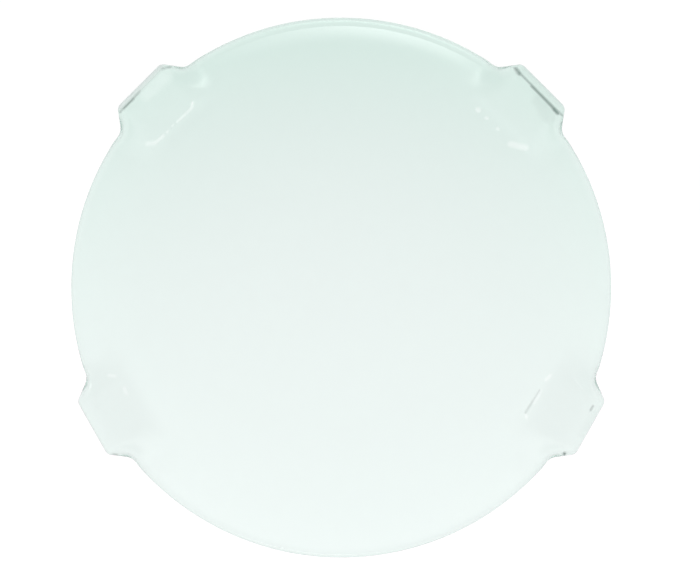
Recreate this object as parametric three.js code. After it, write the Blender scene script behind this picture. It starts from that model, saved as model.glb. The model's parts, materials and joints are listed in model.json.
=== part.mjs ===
// Fluted watch glass, 100 mm across: one piece of clear glass.
//
// A shallow round dish, concave side up, that stands on the middle of its convex underside.
// Its edge is fire-polished round. At four places the rim is pressed down into a level tab,
// a flute. Its straight outer edge stands a little outside the rim's circle, and its sides lean
// out from there and run softly into the rim.
//
// Millimetres, +Z up. The origin is on the surface the dish stands on, under its middle.
// The plane X = 0 is a mirror plane.

import * as THREE from 'three';
import { ParametricGeometry } from 'three/addons/geometries/ParametricGeometry.js';

const { degToRad, lerp, smoothstep } = THREE.MathUtils;

// Driving dimensions: the dish

const RIM_RADIUS = 50; // to the outside of the round rim
const GLASS_THICKNESS = 2;
const UNDERSIDE_CURVATURE_RADIUS = 105;
const SEAT_RADIUS = 6; // the slightly flattened spot that the dish stands on

// Driving dimensions: the flutes

const FLUTE_BEARINGS = [45, 135, 209.4, 330.6].map(degToRad); // counter-clockwise from +X
const FLUTE_EDGE_DISTANCE = 53.5; // from the dish's axis to the flute's straight outer edge
const FLUTE_FLAT_WIDTH = 9.8; // of the level middle, and of the straight edge
const FLUTE_SIDE_BEARING = degToRad(56); // the way a side faces, from the flute's own bearing
const FLUTE_CORNER_RADIUS = 1.6; // outside
const FLUTE_FILLET_RADIUS = 3; // where a side runs into the round rim
const FLUTE_FOLD_DISTANCE = 42.5; // from the dish's axis to the line that the glass is bent along
const FLUTE_FOLD_SOFTNESS = 1.5; // the bend spreads this far to each side of that line
const FLUTE_SHOULDER_WIDTH = 6; // the glass climbs from the level tab back to the dish over this

// Mesh steps: places along the section and round the rim

const INNER_RING_RADII = [0, SEAT_RADIUS, 14, 22, 30, 36, 40]; // round rings, inside the flutes
const OUTER_RING_SHARES = [0.12, 0.24, 0.36, 0.5, 0.75, 1]; // of the way from there to the rim line
const EDGE_STEPS = 4; // round the fire-polished edge
const STRAIGHT_STEPS = 3; // from the middle of a flute's edge to its corner
const CORNER_STEPS = 2;
const FILLET_STEPS = 4;
const SHOULDER_STEPS = 3;
const FLUTE_ZONE_ANGLE = degToRad(14); // a flute and its shoulders lie within this of its bearing
const PLAIN_RIM_STEP = degToRad(6); // the largest step round the rest of the rim

// Derived dimensions. The rim line is where the middle of the glass's thickness ends.

const HALF_THICKNESS = GLASS_THICKNESS / 2;
const MIDDLE_CURVATURE_RADIUS = UNDERSIDE_CURVATURE_RADIUS - HALF_THICKNESS;
const SEAT_ANGLE = Math.asin(SEAT_RADIUS / MIDDLE_CURVATURE_RADIUS);
const CURVATURE_CENTRE_HEIGHT = UNDERSIDE_CURVATURE_RADIUS * Math.cos(SEAT_ANGLE);
const RIM_LINE_RADIUS = RIM_RADIUS - HALF_THICKNESS;
const EDGE_LINE_DISTANCE = FLUTE_EDGE_DISTANCE - HALF_THICKNESS;
const CORNER_LINE_RADIUS = FLUTE_CORNER_RADIUS - HALF_THICKNESS;
const FILLET_LINE_RADIUS = FLUTE_FILLET_RADIUS + HALF_THICKNESS;
const FLUTE_FLAT_OFFSET = FLUTE_FLAT_WIDTH / 2;
const FLUTE_HEIGHT = dishHeight(FLUTE_FOLD_DISTANCE);
const INNER_RING_RADIUS = INNER_RING_RADII.at(-1);
const GRADIENT_STEP = 0.001;

// Height of the middle of the glass in the plain dish, a part of a sphere.
function dishHeight(radius) {
  return CURVATURE_CENTRE_HEIGHT - Math.sqrt(MIDDLE_CURVATURE_RADIUS ** 2 - radius ** 2);
}

// How far one flute is pressed at a point: 0 is the plain dish and 1 is the level tab.
function flutePress(x, y, bearing) {
  const along = x * Math.cos(bearing) + y * Math.sin(bearing);
  const across = Math.abs(y * Math.cos(bearing) - x * Math.sin(bearing));
  const foldStart = FLUTE_FOLD_DISTANCE - FLUTE_FOLD_SOFTNESS;
  const foldEnd = FLUTE_FOLD_DISTANCE + FLUTE_FOLD_SOFTNESS;
  const shoulderEnd = FLUTE_FLAT_OFFSET + FLUTE_SHOULDER_WIDTH;
  return smoothstep(along, foldStart, foldEnd) * (1 - smoothstep(across, FLUTE_FLAT_OFFSET, shoulderEnd));
}

// Height of the middle of the glass, flutes included.
function glassHeight(x, y) {
  const press = FLUTE_BEARINGS.reduce((most, bearing) => Math.max(most, flutePress(x, y, bearing)), 0);
  return lerp(dishHeight(Math.hypot(x, y)), FLUTE_HEIGHT, press);
}

// The direction square to the glass, on its upper side.
function glassNormal(x, y) {
  const slopeX = glassHeight(x + GRADIENT_STEP, y) - glassHeight(x - GRADIENT_STEP, y);
  const slopeY = glassHeight(x, y + GRADIENT_STEP) - glassHeight(x, y - GRADIENT_STEP);
  return new THREE.Vector3(-slopeX, -slopeY, 2 * GRADIENT_STEP).normalize();
}

// A point of the rim line and the level direction in which the glass ends there.
function rimPoint(x, y, outwardAngle) {
  const outward = new THREE.Vector2(Math.cos(outwardAngle), Math.sin(outwardAngle));
  return { point: new THREE.Vector2(x, y), outward };
}

// Points on an arc. On a hollow arc the glass ends towards the arc's centre.
function rimArc(centreX, centreY, radius, startAngle, endAngle, steps, isHollow) {
  return Array.from({ length: steps + 1 }, (_, step) => {
    const angle = lerp(startAngle, endAngle, step / steps);
    const outwardAngle = isHollow ? angle + Math.PI : angle;
    return rimPoint(centreX + radius * Math.cos(angle), centreY + radius * Math.sin(angle), outwardAngle);
  });
}

// Half a flute's stretch of the rim line, in the flute's own axes: X along its bearing, Y across.
// It follows the straight edge, the corner, the side, the fillet and the first of the round rim.
function halfFluteLine() {
  const cornerDistance = EDGE_LINE_DISTANCE - CORNER_LINE_RADIUS;
  const sideOutward = new THREE.Vector2(Math.cos(FLUTE_SIDE_BEARING), Math.sin(FLUTE_SIDE_BEARING));
  const sideReach = sideOutward.dot(new THREE.Vector2(cornerDistance, FLUTE_FLAT_OFFSET)) + CORNER_LINE_RADIUS;
  const filletReach = RIM_LINE_RADIUS + FILLET_LINE_RADIUS;
  const filletBearing = FLUTE_SIDE_BEARING - Math.acos((sideReach + FILLET_LINE_RADIUS) / filletReach);
  const straight = Array.from({ length: STRAIGHT_STEPS }, (_, step) => (
    rimPoint(EDGE_LINE_DISTANCE, FLUTE_FLAT_OFFSET * step / STRAIGHT_STEPS, 0)
  ));
  const corner = rimArc(
    cornerDistance, FLUTE_FLAT_OFFSET, CORNER_LINE_RADIUS, 0, FLUTE_SIDE_BEARING, CORNER_STEPS, false,
  );
  const fillet = rimArc(
    filletReach * Math.cos(filletBearing), filletReach * Math.sin(filletBearing), FILLET_LINE_RADIUS,
    Math.PI + FLUTE_SIDE_BEARING, Math.PI + filletBearing, FILLET_STEPS, true,
  );
  const shoulder = rimArc(0, 0, RIM_LINE_RADIUS, filletBearing, FLUTE_ZONE_ANGLE, SHOULDER_STEPS, false);
  return [...straight, ...corner, ...fillet, ...shoulder.slice(1)];
}

// The stations of a whole flute. Each one also has the bearing that the inner rings use there,
// halfway between the rim point's own bearing and an even share of the flute's zone.
function fluteStations(fluteBearing) {
  const half = halfFluteLine();
  const origin = new THREE.Vector2();
  const stations = half.map(({ point, outward }, index) => {
    const evenBearing = FLUTE_ZONE_ANGLE * index / (half.length - 1);
    return { point, outward, bearing: (point.angle() + evenBearing) / 2 };
  });
  const mirrored = stations.slice(1).reverse().map(({ point, outward, bearing }) => ({
    point: new THREE.Vector2(point.x, -point.y),
    outward: new THREE.Vector2(outward.x, -outward.y),
    bearing: -bearing,
  }));
  return [...mirrored, ...stations].map(({ point, outward, bearing }) => ({
    point: point.clone().rotateAround(origin, fluteBearing),
    outward: outward.clone().rotateAround(origin, fluteBearing),
    bearing: bearing + fluteBearing,
  }));
}

// The stations of the plain round rim between two flutes, an even number of steps apart.
function plainRimStations(startBearing, endBearing) {
  const steps = 2 * Math.ceil((endBearing - startBearing) / PLAIN_RIM_STEP / 2);
  const arc = rimArc(0, 0, RIM_LINE_RADIUS, startBearing, endBearing, steps, false);
  return arc.slice(1, -1).map(({ point, outward }, index) => ({
    point, outward, bearing: lerp(startBearing, endBearing, (index + 1) / steps),
  }));
}

// All stations, once round the glass and back to the first.
function rimStations() {
  const stations = FLUTE_BEARINGS.flatMap((bearing, index) => {
    const isLast = index === FLUTE_BEARINGS.length - 1;
    const nextBearing = isLast ? FLUTE_BEARINGS[0] + 2 * Math.PI : FLUTE_BEARINGS[index + 1];
    return [
      ...fluteStations(bearing),
      ...plainRimStations(bearing + FLUTE_ZONE_ANGLE, nextBearing - FLUTE_ZONE_ANGLE),
    ];
  });
  return [...stations, stations[0]];
}

// Steps along the glass's section: out along the underside, round the fire-polished edge and back
// along the top. Each has a place in plan, a ring's radius and a share of the way from there to the
// rim line, and its distances from the middle of the glass: across it, and out past the rim line.
function sectionSteps() {
  const places = [
    ...INNER_RING_RADII.map((ring) => ({ ring, share: 0 })),
    ...OUTER_RING_SHARES.map((share) => ({ ring: INNER_RING_RADIUS, share })),
  ];
  const underside = places.map((place) => ({ ...place, across: -HALF_THICKNESS, out: 0 }));
  const top = places.map((place) => ({ ...place, across: HALF_THICKNESS, out: 0 })).reverse();
  const edge = Array.from({ length: EDGE_STEPS - 1 }, (_, index) => {
    const angle = Math.PI * ((index + 1) / EDGE_STEPS - 0.5);
    return {
      ring: INNER_RING_RADIUS,
      share: 1,
      across: HALF_THICKNESS * Math.sin(angle),
      out: HALF_THICKNESS * Math.cos(angle),
    };
  });
  return [...underside, ...edge, ...top];
}

// The point of the glass's surface at one station and one step. The underside is flat where it
// would dip below the surface that the dish stands on.
function surfacePoint(station, step, target) {
  const plan = new THREE.Vector2(Math.cos(station.bearing), Math.sin(station.bearing));
  plan.multiplyScalar(step.ring).lerp(station.point, step.share);
  const normal = glassNormal(plan.x, plan.y);
  const outward = new THREE.Vector3(station.outward.x, station.outward.y, 0);
  outward.projectOnPlane(normal).normalize();
  target.set(plan.x, plan.y, glassHeight(plan.x, plan.y));
  target.addScaledVector(normal, step.across).addScaledVector(outward, step.out);
  target.z = Math.max(target.z, 0);
  return target;
}

function glassGeometry() {
  const stations = rimStations();
  const steps = sectionSteps();
  const lastStation = stations.length - 1;
  const lastStep = steps.length - 1;
  const geometry = new ParametricGeometry((around, along, target) => {
    surfacePoint(stations[Math.round(around * lastStation)], steps[Math.round(along * lastStep)], target);
  }, lastStation, lastStep);
  geometry.computeVertexNormals();
  return geometry;
}

function glassMaterial() {
  return new THREE.MeshStandardMaterial({
    color: 0xdcefe9, roughness: 0.04, metalness: 0, transparent: true, opacity: 0.35,
  });
}

const watchGlass = new THREE.Mesh(glassGeometry(), glassMaterial());
watchGlass.name = 'watch_glass';

const group = new THREE.Group();
group.add(watchGlass);

export default group;
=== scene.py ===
"""The looks of a fluted watch glass: one piece of clear glass on a softly lit white floor.

The fine surface follows the same plan as the CAD solid that it stands for: a dish that is part of
a sphere, with four flutes pressed level at the rim. It adds what the glass's making leaves on it,
and carries where shade and highlights are painted into the glass's colour on the flutes.
Everything is in metres, in the frame's axes, +Z up.
"""

import json
import math

import bpy
import numpy as np
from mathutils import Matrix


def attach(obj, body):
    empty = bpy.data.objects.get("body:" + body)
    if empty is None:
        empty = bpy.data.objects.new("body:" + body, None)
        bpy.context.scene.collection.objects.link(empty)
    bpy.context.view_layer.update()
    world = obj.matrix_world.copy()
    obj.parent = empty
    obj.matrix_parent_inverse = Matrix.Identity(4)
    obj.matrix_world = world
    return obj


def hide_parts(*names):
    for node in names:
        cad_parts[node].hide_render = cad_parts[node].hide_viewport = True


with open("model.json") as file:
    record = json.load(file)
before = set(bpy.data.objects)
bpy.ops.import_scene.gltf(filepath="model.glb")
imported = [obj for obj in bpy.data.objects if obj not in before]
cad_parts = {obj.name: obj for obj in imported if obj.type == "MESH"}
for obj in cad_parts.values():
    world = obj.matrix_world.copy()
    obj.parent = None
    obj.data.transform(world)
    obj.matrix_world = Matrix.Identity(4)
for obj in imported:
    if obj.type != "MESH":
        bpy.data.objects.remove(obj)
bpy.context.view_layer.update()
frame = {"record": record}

MM = 0.001

# The dish, as in the CAD solid
RIM_RADIUS = 50 * MM
GLASS_THICKNESS = 2 * MM
UNDERSIDE_CURVATURE_RADIUS = 105 * MM
SEAT_RADIUS = 6 * MM

# The flutes, as in the CAD solid
FLUTES = {
    mount["name"]: math.atan2(mount["pos_m"][1], mount["pos_m"][0]) % math.tau
    for mount in frame["record"]["mounts"]
    if mount["name"].startswith("flute_seat")
}
FLUTE_BEARINGS = sorted(FLUTES.values())
FLUTE_EDGE_DISTANCE = 53.5 * MM
FLUTE_FLAT_WIDTH = 9.8 * MM
FLUTE_SIDE_BEARING = math.radians(56)
FLUTE_CORNER_RADIUS = 1.6 * MM
FLUTE_FILLET_RADIUS = 3 * MM
FLUTE_FOLD_DISTANCE = 42.5 * MM
FLUTE_FOLD_SOFTNESS = 1.5 * MM
FLUTE_SHOULDER_WIDTH = 6 * MM

# What its making leaves on the glass
EDGE_SWELLING = 0.13 * MM  # the fire-polished edge is this much thicker on each side
EDGE_SWELLING_WIDTH = 2.8 * MM
WAVE_HEIGHT = 0.015 * MM  # the sagged glass isn't quite even
WAVES = [  # the way each one runs, its length, and its phase at the middle of the dish
    ((1, 0.35), 23 * MM, 0.4),
    ((-0.5, 1), 17 * MM, 2.1),
    ((0.8, -1), 31 * MM, 4.0),
]

# The hot tool's marks on top of each flute, with shade and highlights painted into the glass's colour
# there. A mark is a stroke from one point to another, with its width and its strength. The points are
# distances along the flute's bearing and across it, and these are the only lengths given in millimetres.
# A frosted strip, made rough, whose greyer, less green colour is painted shade.
FROSTS_AND_PAINTED_SHADE = {
    "flute_seat_left_back": [((53.2, 5.4), (53.2, -5.6), 1.7, 0.8)],
}
# Painted shade, also pressed in as shallow grooves: dark lines along the flute edges, a painted shadow below
# the right back one, and faint painted darkening over each flute's flat.
GROOVES_AND_PAINTED_SHADE = {
    "flute_seat_right_back": [
        ((51.8, 6.1), (51.8, -6.4), 0.5, 0.7),
        ((51.8, 5.8), (51.7, 4.7), 0.8, 1),
        ((51.7, 1.5), (51.6, -5.6), 0.6, 0.9),
        ((51.6, -4.4), (51.5, -5.5), 0.8, 1),
        ((50.8, -1.4), (49.8, -4.8), 3, 0.16),
        ((52.9, 4.8), (52.9, -4.8), 1.2, 0.12),
        ((47.5, 3.5), (47.5, -3), 9, 0.035),
    ],
    "flute_seat_left_back": [
        ((52.3, 6), (52.4, 0.6), 0.5, 0.6),
        ((52.3, 5), (52.3, 2.4), 0.5, 0.85),
        ((52.4, 0.6), (52.5, -4.8), 0.5, 0.15),
        ((52.4, -5.3), (51.6, -6.5), 0.6, 0.6),
        ((46.5, 3.5), (46.5, -3), 9, 0.035),
    ],
    "flute_seat_left_front": [
        ((52.3, 6.2), (51.6, 6.6), 0.5, 0.6),
        ((50.2, -3), (49.8, -4.6), 2, 0.06),
        ((47.5, 3.5), (47.5, -2.5), 9, 0.05),
    ],
    "flute_seat_right_front": [
        ((51.7, 3.8), (51.7, 2.9), 0.5, 0.55),
        ((51.4, -6.5), (51.3, -6.5), 0.7, 1),
        ((41.6, 1.5), (41.4, -3.4), 0.35, 0.3),
        ((41.5, -1), (41.4, -3.4), 0.5, 0.35),
        ((52.2, 2.6), (52.2, -2), 1.6, 0.07),
        ((47.5, 3.5), (47.5, -2.5), 9, 0.05),
    ],
}
# The tool's nicks, pressed in and made rough, with painted highlights: their lighter, clearer colour stands
# in for the light that they catch.
SCUFFS_AND_PAINTED_HIGHLIGHTS = {
    "flute_seat_right_back": [
        ((41.5, 5.5), (41.5, 5.3), 0.9, 1),
        ((41.5, 3.3), (41.6, 3.1), 0.6, 0.8),
        ((41.6, 0.4), (41.6, 0.2), 0.6, 0.7),
        ((41.3, -3.4), (42.7, -5.8), 1.2, 0.8),
        ((50.6, 5.6), (49.8, 6.4), 2.4, 0.25),
    ],
    "flute_seat_left_back": [
        ((44.5, 6.6), (43.7, 5.4), 0.9, 0.6),
        ((43.6, 5.4), (43.5, 3.4), 0.6, 0.8),
        ((43.5, 2.5), (43.5, 2.2), 0.5, 0.6),
        ((43.6, 1), (43.6, 0.7), 0.4, 0.5),
        ((43.5, -0.3), (43.4, -3.9), 0.5, 0.75),
        ((43.4, -3.9), (44, -4.8), 0.6, 0.9),
        ((51.2, 0.2), (51, -5), 2.4, 0.45),
    ],
    "flute_seat_left_front": [
        ((44.6, -2.4), (44.4, -3.6), 0.6, 0.3),
        ((45.6, -7), (44.8, -6.3), 0.6, 0.4),
    ],
    "flute_seat_right_front": [
        ((42, 4.9), (41.7, 3.8), 0.6, 0.5),
        ((42, 1.4), (41.9, -1.2), 0.4, 0.4),
        ((41.7, -3.8), (42, -4.2), 0.5, 0.5),
    ],
}
MARK_KINDS = [  # each one's name, strokes and depth, and the colour that it gives the glass, which paints shade and highlights into it
    # painted grey shade on the frosted strip
    ("frost_and_painted_shade", FROSTS_AND_PAINTED_SHADE, 0, (0.69, 0.715, 0.71, 1)),
    # painted dark lines and shade, pressed in as grooves
    ("groove_and_painted_shade", GROOVES_AND_PAINTED_SHADE, 0.1 * MM, (0.06, 0.1, 0.085, 1)),
    # painted highlights on the tool's nicks
    ("scuff_and_painted_highlight", SCUFFS_AND_PAINTED_HIGHLIGHTS, 0.02 * MM, (0.92, 1, 0.97, 1)),
]
MARK_CORE = 0.15  # of a mark's width, from its middle line to where it starts to fade
MARK_REACH = 0.75  # of a mark's width, to where it has faded out

# The tool leaves the glass a little dull on and around each flute. The dullness comes up between two
# distances along the flute's bearing, and fades out between two distances to either side of it.
DULL_ALONG = (38 * MM, 45 * MM)
DULL_ACROSS = (11 * MM, 17 * MM)

# Mesh steps. Round rings reach out to INNER_RADIUS. From there to the rim line, each ring is placed by its
# share of the way: fine steps across the folds, plain ones, and fine ones again at the swollen edge.
INNER_RADIUS = 40 * MM
SEAT_RINGS = np.linspace(0, SEAT_RADIUS, 4)
DISH_RINGS = np.linspace(SEAT_RADIUS, INNER_RADIUS, 17)[1:]
FOLD_SHARE = 0.4
EDGE_SHARE = 0.78
FINE_SHARES = np.linspace(0, FOLD_SHARE, 31)[1:]
PLAIN_SHARES = np.linspace(FOLD_SHARE, EDGE_SHARE, 11)[1:]
EDGE_SHARES = np.linspace(EDGE_SHARE, 1, 23)[1:]
EDGE_ROUND_STEPS = 20
STRAIGHT_STEPS = 22
CORNER_STEPS = 6
SIDE_STEPS = 10
FILLET_STEPS = 8
SHOULDER_STEPS = 5
FLUTE_ZONE_ANGLE = math.radians(14)
PLAIN_RIM_STEP = math.radians(2.5)
GRADIENT_STEP = 0.001 * MM

# Derived dimensions. The rim line is where the middle of the glass's thickness ends.
HALF_THICKNESS = GLASS_THICKNESS / 2
EDGE_HALF_THICKNESS = HALF_THICKNESS + EDGE_SWELLING
MIDDLE_CURVATURE_RADIUS = UNDERSIDE_CURVATURE_RADIUS - HALF_THICKNESS
SEAT_EDGE_ANGLE = math.asin(SEAT_RADIUS / MIDDLE_CURVATURE_RADIUS)
CURVATURE_CENTRE_HEIGHT = UNDERSIDE_CURVATURE_RADIUS * math.cos(SEAT_EDGE_ANGLE)
FOLD_START = FLUTE_FOLD_DISTANCE - FLUTE_FOLD_SOFTNESS
FOLD_END = FLUTE_FOLD_DISTANCE + FLUTE_FOLD_SOFTNESS
RIM_LINE_RADIUS = RIM_RADIUS - EDGE_HALF_THICKNESS
EDGE_LINE_DISTANCE = FLUTE_EDGE_DISTANCE - EDGE_HALF_THICKNESS
CORNER_LINE_RADIUS = FLUTE_CORNER_RADIUS - EDGE_HALF_THICKNESS
FILLET_LINE_RADIUS = FLUTE_FILLET_RADIUS + EDGE_HALF_THICKNESS
FLUTE_FLAT_OFFSET = FLUTE_FLAT_WIDTH / 2
SHOULDER_END = FLUTE_FLAT_OFFSET + FLUTE_SHOULDER_WIDTH

# The glass. The two noises' scales are to the metre.
GLASS_TINT = (0.697, 0.839, 0.787, 1)
GLASS_IOR = 1.5
MARK_ROUGHNESS = 0.1
DULL_ROUGHNESS = 0.2
SMEAR_ROUGHNESS = 0.03
SMEAR_SCALE = 45
SMEAR_DETAIL = 6
SMEAR_NOISE_RANGE = (0.5, 0.75)  # the noise's values from where a smear starts to where it is full
RIPPLE_SCALE = 220
RIPPLE_DETAIL = 2
RIPPLE_HEIGHT = 0.003 * MM
EDGE_GREEN = (0.4, 0.85, 0.7, 1)
EDGE_GREEN_DENSITY = 2

# The floor, and the pool of light on it
FLOOR_SIZE = 6
FLOOR_GAP = 0.03 * MM  # keeps it clear of the flat spot that the dish stands on
FLOOR_COLOUR = (0.12, 0.12, 0.12, 1)  # dark, because most of its light comes from within
FLOOR_ROUGHNESS = 0.9
FLOOR_SPECULAR = 0.1
POOL_MIDDLE = (0, -43 * MM, 0)
POOL_RADIUS = 90 * MM
POOL_SHARPNESS = 4
POOL_MIDDLE_LIGHT = (1.12, 0.99, 1.04, 1)
POOL_EDGE_LIGHT = (0.885, 0.885, 0.885, 1)
FAR_FLOOR_DISTANCES = (0.18, 0.45)  # between which its light falls to the strength that it has far out
FAR_FLOOR_STRENGTH = 0.54

# The sky: brighter towards the back, over a plain pale horizon. Heights are parts of the way up to
# straight overhead, as the sine of the angle.
SKY_LIGHT = 1.15
SKY_BACKWARD_GAIN = 0.7
HORIZON_LIGHT = 0.66
HORIZON_HEIGHTS = (0.15, 0.4)

# A soft lamp at the front, a little to the left. It comes up between the bottom heights and fades out
# between the top ones.
LAMP_DIRECTION = (-0.16, -0.8, 0.58)
LAMP_SHARPNESS = 16
LAMP_LIGHT = 3.8
LAMP_BOTTOM_HEIGHTS = (0.49, 0.57)
LAMP_TOP_HEIGHTS = (0.54, 0.74)

# The camera looks straight down at PICTURE_MIDDLE, which is about as high as the rim, and PICTURE_WIDTH is
# what it sees there from side to side.
CAMERA_LENS = 85
PICTURE_WIDTH = 129.6 * MM
PICTURE_MIDDLE = (1.63 * MM, -0.61 * MM, 13 * MM)

LIGHT_BOUNCES = 64


def smoothstep(value, start, end):
    t = np.clip((value - start) / (end - start), 0, 1)
    return t * t * (3 - 2 * t)


# The surface


def dish_height(radius):
    """Height of the middle of the glass in the plain dish."""
    return CURVATURE_CENTRE_HEIGHT - np.sqrt(MIDDLE_CURVATURE_RADIUS**2 - radius**2)


def flute_axes(x, y, bearing):
    """Distances along a flute's bearing and across it."""
    along = x * math.cos(bearing) + y * math.sin(bearing)
    across = y * math.cos(bearing) - x * math.sin(bearing)
    return along, across


def flute_press(x, y, bearing):
    """How far one flute is pressed at a point: 0 is the plain dish and 1 is the level tab."""
    along, across = flute_axes(x, y, bearing)
    fold = smoothstep(along, FOLD_START, FOLD_END)
    shoulder = smoothstep(np.abs(across), FLUTE_FLAT_OFFSET, SHOULDER_END)
    return fold * (1 - shoulder)


def glass_height(x, y):
    """Height of the middle of the glass, flutes included."""
    press = np.max([flute_press(x, y, bearing) for bearing in FLUTE_BEARINGS], axis=0)
    dish = dish_height(np.hypot(x, y))
    return dish + (dish_height(FLUTE_FOLD_DISTANCE) - dish) * press


def glass_normal(x, y):
    """Unit vectors square to the glass, on its upper side."""
    slope_x = glass_height(x + GRADIENT_STEP, y) - glass_height(x - GRADIENT_STEP, y)
    slope_y = glass_height(x, y + GRADIENT_STEP) - glass_height(x, y - GRADIENT_STEP)
    normal = np.stack([-slope_x, -slope_y, np.full_like(slope_x, 2 * GRADIENT_STEP)], axis=-1)
    return normal / np.linalg.norm(normal, axis=-1, keepdims=True)


def waves(x, y):
    """The glass's unevenness, from -1 to 1."""
    total = sum(
        np.sin(math.tau * (x * way[0] + y * way[1]) / math.hypot(*way) / length + start)
        for way, length, start in WAVES
    )
    return total / len(WAVES)


def half_thickness(x, y, inset):
    """From the middle of the glass to its surface. inset is the distance inside the rim line."""
    swelling = EDGE_SWELLING * np.clip(1 - inset / EDGE_SWELLING_WIDTH, 0, 1) ** 2
    return HALF_THICKNESS + swelling + WAVE_HEIGHT * waves(x, y)


def distance_from_stroke(along, across, start, end):
    """How far each point is from the straight line between the stroke's two ends."""
    reach_along, reach_across = end[0] - start[0], end[1] - start[1]
    share = (along - start[0]) * reach_along + (across - start[1]) * reach_across
    share = np.clip(share / (reach_along**2 + reach_across**2), 0, 1)
    return np.hypot(along - start[0] - reach_along * share, across - start[1] - reach_across * share)


def marked(x, y, strokes_by_flute):
    """How strongly each point is marked, from 0 to 1."""
    most = np.zeros_like(x)
    for flute, strokes in strokes_by_flute.items():
        along, across = flute_axes(x / MM, y / MM, FLUTES[flute])
        for start, end, width, strength in strokes:
            away = distance_from_stroke(along, across, start, end)
            most = np.maximum(most, strength * (1 - smoothstep(away, MARK_CORE * width, MARK_REACH * width)))
    return most


def dulled(x, y):
    """How dull the tool has left the glass, from 0 to 1."""
    most = np.zeros_like(x)
    for bearing in FLUTE_BEARINGS:
        along, across = flute_axes(x, y, bearing)
        zone = smoothstep(along, *DULL_ALONG) * (1 - smoothstep(np.abs(across), *DULL_ACROSS))
        most = np.maximum(most, zone)
    return most


# The rim line: rows of x, y and the angle of the outward direction


def rim_arc(centre, radius, start, end, steps, hollow=False):
    angle = np.linspace(start, end, steps + 1)
    x = centre[0] + radius * np.cos(angle)
    y = centre[1] + radius * np.sin(angle)
    return np.stack([x, y, angle + (math.pi if hollow else 0)], axis=1)


def rim_straight(start, end, steps, outward):
    x = np.linspace(start[0], end[0], steps + 1)
    y = np.linspace(start[1], end[1], steps + 1)
    return np.stack([x, y, np.full(steps + 1, outward)], axis=1)


def unit(angle):
    return np.array([math.cos(angle), math.sin(angle)])


def half_flute_line():
    """From the middle of a flute's edge to the end of its zone, in the flute's own axes."""
    edge_middle = np.array([EDGE_LINE_DISTANCE, 0])
    edge_end = np.array([EDGE_LINE_DISTANCE, FLUTE_FLAT_OFFSET])
    corner_centre = edge_end - [CORNER_LINE_RADIUS, 0]
    side_outward = unit(FLUTE_SIDE_BEARING)
    side_reach = side_outward @ corner_centre + CORNER_LINE_RADIUS
    fillet_reach = RIM_LINE_RADIUS + FILLET_LINE_RADIUS
    fillet_bearing = FLUTE_SIDE_BEARING - math.acos((side_reach + FILLET_LINE_RADIUS) / fillet_reach)
    fillet_centre = fillet_reach * unit(fillet_bearing)
    side_start = corner_centre + CORNER_LINE_RADIUS * side_outward
    side_end = fillet_centre - FILLET_LINE_RADIUS * side_outward
    fillet_turn = (math.pi + FLUTE_SIDE_BEARING, math.pi + fillet_bearing)
    straight = rim_straight(edge_middle, edge_end, STRAIGHT_STEPS, 0)
    corner = rim_arc(corner_centre, CORNER_LINE_RADIUS, 0, FLUTE_SIDE_BEARING, CORNER_STEPS)
    side = rim_straight(side_start, side_end, SIDE_STEPS, FLUTE_SIDE_BEARING)
    fillet = rim_arc(fillet_centre, FILLET_LINE_RADIUS, *fillet_turn, FILLET_STEPS, hollow=True)
    shoulder = rim_arc((0, 0), RIM_LINE_RADIUS, fillet_bearing, FLUTE_ZONE_ANGLE, SHOULDER_STEPS)
    fillet[:, 2] -= math.tau
    return np.concatenate([straight, corner[1:], side[1:-1], fillet, shoulder[1:]])


def turned(line, bearing):
    """The same stretch of the rim line at another bearing."""
    x = line[:, 0] * math.cos(bearing) - line[:, 1] * math.sin(bearing)
    y = line[:, 0] * math.sin(bearing) + line[:, 1] * math.cos(bearing)
    return np.stack([x, y, line[:, 2] + bearing], axis=1)


def rim_line():
    """The whole rim line, once round, with the bearing that the inner rings use at each station."""
    half = half_flute_line()
    own = np.arctan2(half[:, 1], half[:, 0])
    even = np.linspace(0, FLUTE_ZONE_ANGLE, len(half))
    half_bearing = (own + even) / 2
    mirrored = (half * [1, -1, -1])[:0:-1]
    flute = np.concatenate([mirrored, half])
    flute_bearing = np.concatenate([-half_bearing[:0:-1], half_bearing])
    lines, bearings = [], []
    for bearing, following in zip(FLUTE_BEARINGS, FLUTE_BEARINGS[1:] + [FLUTE_BEARINGS[0] + math.tau]):
        lines.append(turned(flute, bearing))
        bearings.append(flute_bearing + bearing)
        start = bearing + FLUTE_ZONE_ANGLE
        end = following - FLUTE_ZONE_ANGLE
        steps = math.ceil((end - start) / PLAIN_RIM_STEP)
        lines.append(rim_arc((0, 0), RIM_LINE_RADIUS, start, end, steps)[1:-1])
        bearings.append(np.linspace(start, end, steps + 1)[1:-1])
    return np.concatenate(lines), np.concatenate(bearings)


# The mesh


def section_steps():
    """Rows of ring radius, share of the way to the rim line, side of the glass and turn round its edge."""
    rings = [(ring, 0) for ring in np.concatenate([SEAT_RINGS, DISH_RINGS])]
    outer = np.concatenate([PLAIN_SHARES, EDGE_SHARES])
    top = rings + [(INNER_RADIUS, share) for share in np.concatenate([FINE_SHARES, outer])]
    under = rings + [(INNER_RADIUS, share) for share in np.concatenate([FINE_SHARES[1::2], outer])]
    quarter = math.pi / 2
    turns = np.linspace(-quarter, quarter, EDGE_ROUND_STEPS + 1)[1:-1]
    steps = [(ring, share, -quarter) for ring, share in under]
    steps += [(INNER_RADIUS, 1, turn) for turn in turns]
    steps += [(ring, share, quarter) for ring, share in reversed(top)]
    return np.array(steps)


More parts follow.
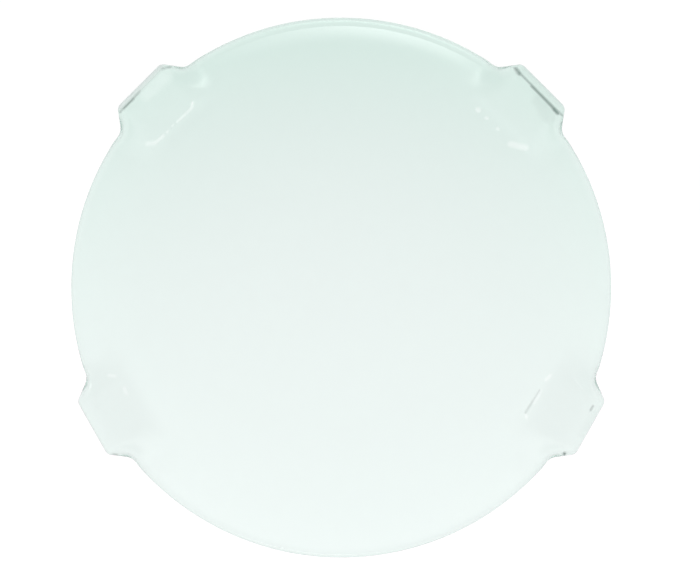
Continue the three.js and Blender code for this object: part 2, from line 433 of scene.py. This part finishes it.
def glass_surface():
    """The surface's points, and how marked and dull each is: one row per step, one column per station."""
    line, bearing = rim_line()
    ring, share, turn = (column[:, None] for column in section_steps().T)
    ring_x, ring_y = ring * np.cos(bearing), ring * np.sin(bearing)
    x = ring_x + (line[:, 0] - ring_x) * share
    y = ring_y + (line[:, 1] - ring_y) * share
    inset = np.hypot(line[:, 0] - x, line[:, 1] - y)
    normal = glass_normal(x, y)
    outward = np.stack([np.cos(line[:, 2]), np.sin(line[:, 2]), np.zeros(len(line))], axis=-1)
    outward = outward - normal * np.sum(outward * normal, axis=-1, keepdims=True)
    outward /= np.linalg.norm(outward, axis=-1, keepdims=True)
    half = half_thickness(x, y, inset)[..., None]
    points = np.stack([x, y, glass_height(x, y)], axis=-1)
    points += normal * half * np.sin(turn)[..., None] + outward * half * np.cos(turn)[..., None]
    marks = {}
    dent = 0
    for name, strokes, depth, _ in MARK_KINDS:
        marks[name] = marked(points[..., 0], points[..., 1], strokes) * (turn > 0)
        dent = dent + depth * marks[name]
    marks["dull"] = dulled(points[..., 0], points[..., 1])
    points -= normal * dent[..., None]
    points[..., 2] = np.maximum(points[..., 2], 0)
    return points, marks


def by_vertex(rows):
    """The values in the order of the mesh's vertices: the rings, then the underside's pole and the top's."""
    rings = rows[1:-1].reshape(-1, *rows.shape[2:])
    return np.concatenate([rings, rows[:1, 0], rows[-1:, 0]])


def make_glass():
    points, marks = glass_surface()
    stations = points.shape[1]
    vertices = by_vertex(points)
    under_pole, top_pole = len(vertices) - 2, len(vertices) - 1
    here = np.arange(stations)
    after = np.roll(here, -1)
    last_ring = under_pole - stations
    faces = [(under_pole, a, b) for a, b in zip(after.tolist(), here.tolist())]
    for low in range(0, last_ring, stations):
        high = low + stations
        corners = np.stack([low + here, low + after, high + after, high + here], axis=1)
        faces += corners.tolist()
    faces += [(top_pole, last_ring + a, last_ring + b) for a, b in zip(here.tolist(), after.tolist())]
    mesh = bpy.data.meshes.new("fluted_watch_glass")
    mesh.from_pydata(vertices.tolist(), [], faces)
    for name, rows in marks.items():
        mesh.attributes.new(name, "FLOAT", "POINT").data.foreach_set("value", by_vertex(rows))
    mesh.shade_smooth()
    mesh.materials.append(glass_material())
    piece = bpy.data.objects.new("fluted_watch_glass", mesh)
    bpy.context.collection.objects.link(piece)
    return piece


# Materials. A node's inputs are given as values or as other nodes' outputs.


def add_node(tree, kind, inputs=(), **settings):
    node = tree.nodes.new(kind)
    for name, value in settings.items():
        setattr(node, name, value)
    for key, value in dict(inputs).items():
        if isinstance(value, bpy.types.NodeSocket):
            tree.links.new(value, node.inputs[key])
        else:
            node.inputs[key].default_value = value
    return node


def add_math(tree, operation, first, second):
    return add_node(tree, "ShaderNodeMath", {0: first, 1: second}, operation=operation).outputs[0]


def add_mix(tree, factor, first, second):
    inputs = {"Factor": factor, "A": first, "B": second}
    return add_node(tree, "ShaderNodeMix", inputs, data_type="RGBA").outputs["Result"]


def add_fade(tree, value, start, end, start_value=0, end_value=1):
    inputs = {"Value": value, "From Min": start, "From Max": end, "To Min": start_value, "To Max": end_value}
    return add_node(tree, "ShaderNodeMapRange", inputs, interpolation_type="SMOOTHSTEP").outputs["Result"]


def add_noise(tree, place, scale, detail):
    inputs = {"Vector": place, "Scale": scale, "Detail": detail}
    return add_node(tree, "ShaderNodeTexNoise", inputs).outputs["Fac"]


def add_attribute(tree, name):
    return add_node(tree, "ShaderNodeAttribute", attribute_name=name).outputs["Fac"]


def glass_material():
    """Clear glass with the tool's marks, shade and highlights painted into its colour at the flutes, and
    faint wiping smears, green where it is seen edge on.
    """
    material = bpy.data.materials.new("clear_glass")
    material.use_nodes = True
    tree = material.node_tree
    shader = tree.nodes["Principled BSDF"]
    shader.inputs["Transmission Weight"].default_value = 1
    shader.inputs["IOR"].default_value = GLASS_IOR
    place = add_node(tree, "ShaderNodeTexCoord").outputs["Object"]
    smears = add_noise(tree, place, SMEAR_SCALE, SMEAR_DETAIL)
    roughness = add_fade(tree, smears, *SMEAR_NOISE_RANGE, 0, SMEAR_ROUGHNESS)
    colour = GLASS_TINT
    # The marks' colours paint shade and highlights into the glass, and the marks also make it rougher.
    for name, _, _, tint in MARK_KINDS:
        mark = add_attribute(tree, name)
        colour = add_mix(tree, mark, colour, tint)
        roughness = add_math(tree, "ADD", roughness, add_math(tree, "MULTIPLY", mark, MARK_ROUGHNESS))
    dull = add_attribute(tree, "dull")
    roughness = add_math(tree, "ADD", roughness, add_math(tree, "MULTIPLY", dull, DULL_ROUGHNESS))
    tree.links.new(colour, shader.inputs["Base Color"])
    tree.links.new(roughness, shader.inputs["Roughness"])

    ripples = add_noise(tree, place, RIPPLE_SCALE, RIPPLE_DETAIL)
    bump = add_node(tree, "ShaderNodeBump", {"Distance": RIPPLE_HEIGHT, "Height": ripples})
    tree.links.new(bump.outputs["Normal"], shader.inputs["Normal"])

    inputs = {"Color": EDGE_GREEN, "Density": EDGE_GREEN_DENSITY}
    absorption = add_node(tree, "ShaderNodeVolumeAbsorption", inputs)
    tree.links.new(absorption.outputs["Volume"], tree.nodes["Material Output"].inputs["Volume"])
    return material


def floor_material():
    """White, lit mostly from within, with a pool of light that is a little pinker in its middle."""
    material = bpy.data.materials.new("floor_white")
    material.use_nodes = True
    tree = material.node_tree
    shader = tree.nodes["Principled BSDF"]
    shader.inputs["Base Color"].default_value = FLOOR_COLOUR
    shader.inputs["Roughness"].default_value = FLOOR_ROUGHNESS
    shader.inputs["Specular IOR Level"].default_value = FLOOR_SPECULAR
    place = add_node(tree, "ShaderNodeTexCoord").outputs["Object"]
    from_middle = add_node(tree, "ShaderNodeVectorMath", {0: place, 1: POOL_MIDDLE}, operation="DISTANCE")
    distance = from_middle.outputs["Value"]
    share = add_math(tree, "MINIMUM", add_math(tree, "DIVIDE", distance, POOL_RADIUS), 1)
    light = add_mix(tree, add_math(tree, "POWER", share, POOL_SHARPNESS), POOL_MIDDLE_LIGHT, POOL_EDGE_LIGHT)
    tree.links.new(light, shader.inputs["Emission Color"])
    strength = add_fade(tree, distance, *FAR_FLOOR_DISTANCES, 1, FAR_FLOOR_STRENGTH)
    tree.links.new(strength, shader.inputs["Emission Strength"])
    return material


# The surroundings


def make_floor():
    bpy.ops.mesh.primitive_plane_add(size=FLOOR_SIZE)
    floor = bpy.context.object
    floor.name = "floor"
    floor.location.z = -FLOOR_GAP
    floor.data.materials.append(floor_material())


def add_facing(tree, place, direction):
    """How far each direction faces a given one, from 0 at square to it to 1."""
    dot = add_node(tree, "ShaderNodeVectorMath", {0: place, 1: direction}, operation="DOT_PRODUCT")
    return add_math(tree, "MAXIMUM", dot.outputs["Value"], 0)


def make_world():
    world = bpy.data.worlds.new("studio")
    bpy.context.scene.world = world
    world.use_nodes = True
    tree = world.node_tree
    place = add_node(tree, "ShaderNodeTexCoord").outputs["Generated"]
    axes = add_node(tree, "ShaderNodeSeparateXYZ", {0: place}).outputs
    backward = add_math(tree, "MULTIPLY", axes["Y"], SKY_BACKWARD_GAIN)
    sky = add_math(tree, "ADD", backward, SKY_LIGHT)
    above_horizon = add_fade(tree, axes["Z"], *HORIZON_HEIGHTS)
    inputs = {"Factor": above_horizon, "A": HORIZON_LIGHT, "B": sky}
    backdrop = add_node(tree, "ShaderNodeMix", inputs, data_type="FLOAT").outputs["Result"]
    lamp = add_math(tree, "POWER", add_facing(tree, place, LAMP_DIRECTION), LAMP_SHARPNESS)
    lamp = add_math(tree, "MULTIPLY", lamp, add_fade(tree, axes["Z"], *LAMP_BOTTOM_HEIGHTS))
    lamp = add_math(tree, "MULTIPLY", lamp, add_fade(tree, axes["Z"], *LAMP_TOP_HEIGHTS, LAMP_LIGHT, 0))
    background = tree.nodes["Background"]
    background.inputs["Color"].default_value = (1, 1, 1, 1)
    tree.links.new(add_math(tree, "ADD", backdrop, lamp), background.inputs["Strength"])


def make_camera():
    """Straight above the dish, with +Y at the top of the picture."""
    data = bpy.data.cameras.new("camera")
    data.lens = CAMERA_LENS
    camera = bpy.data.objects.new("camera", data)
    bpy.context.collection.objects.link(camera)
    x, y, height = PICTURE_MIDDLE
    distance = PICTURE_WIDTH / 2 / (data.sensor_width / 2 / data.lens)
    camera.location = (x, y, height + distance)
    bpy.context.scene.camera = camera


def set_colours_and_bounces():
    """Plain colours, and bounces enough for light that turns many times on its way from rim to rim."""
    scene = bpy.context.scene
    scene.view_settings.view_transform = "Standard"
    scene.cycles.max_bounces = LIGHT_BOUNCES
    scene.cycles.transmission_bounces = LIGHT_BOUNCES
    scene.cycles.glossy_bounces = LIGHT_BOUNCES


make_camera()
make_world()
make_floor()
set_colours_and_bounces()
glass = make_glass()
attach(glass, "root")
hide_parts("watch_glass")
